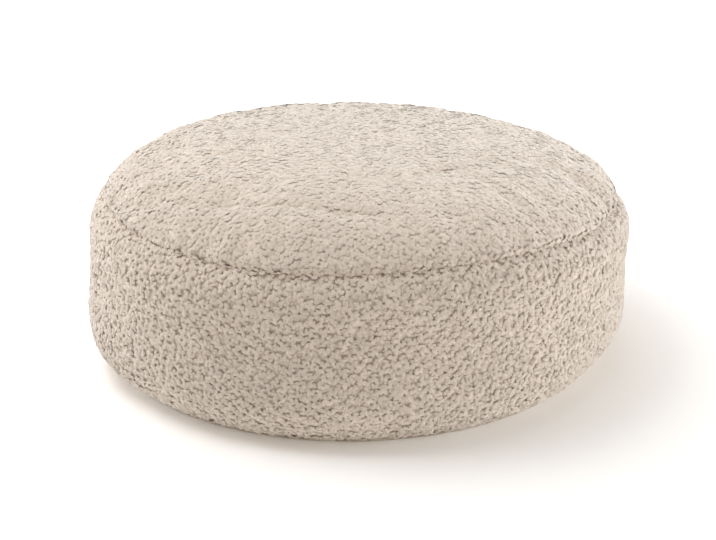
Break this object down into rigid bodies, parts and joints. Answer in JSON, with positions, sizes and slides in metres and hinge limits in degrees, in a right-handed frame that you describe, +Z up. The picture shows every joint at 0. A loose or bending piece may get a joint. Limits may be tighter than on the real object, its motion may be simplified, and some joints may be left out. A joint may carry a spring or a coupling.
{
  "type": "bean bag footstool",
  "caption": "Low round bean bag footstool in cream curly pile, with a domed top sewn to a bulging side band and a flat base.",
  "frame": {"origin": "on the floor, under the middle of the bag's box", "axes": "+Z up, the bag's short way; -Y is the side that is seen first"},
  "size_m": [0.797, 0.8, 0.3055],
  "materials": {
    "top_pile": "short curly pile, dull, cream",
    "band_pile": "short curly pile, dull, cream",
    "base_cloth": "plain woven cloth, dull, beige"
  },
  "bodies": {
    "root": {"top_panel": "top_pile", "side_band": "band_pile", "base_panel": "base_cloth"}
  },
  "joints": []
}
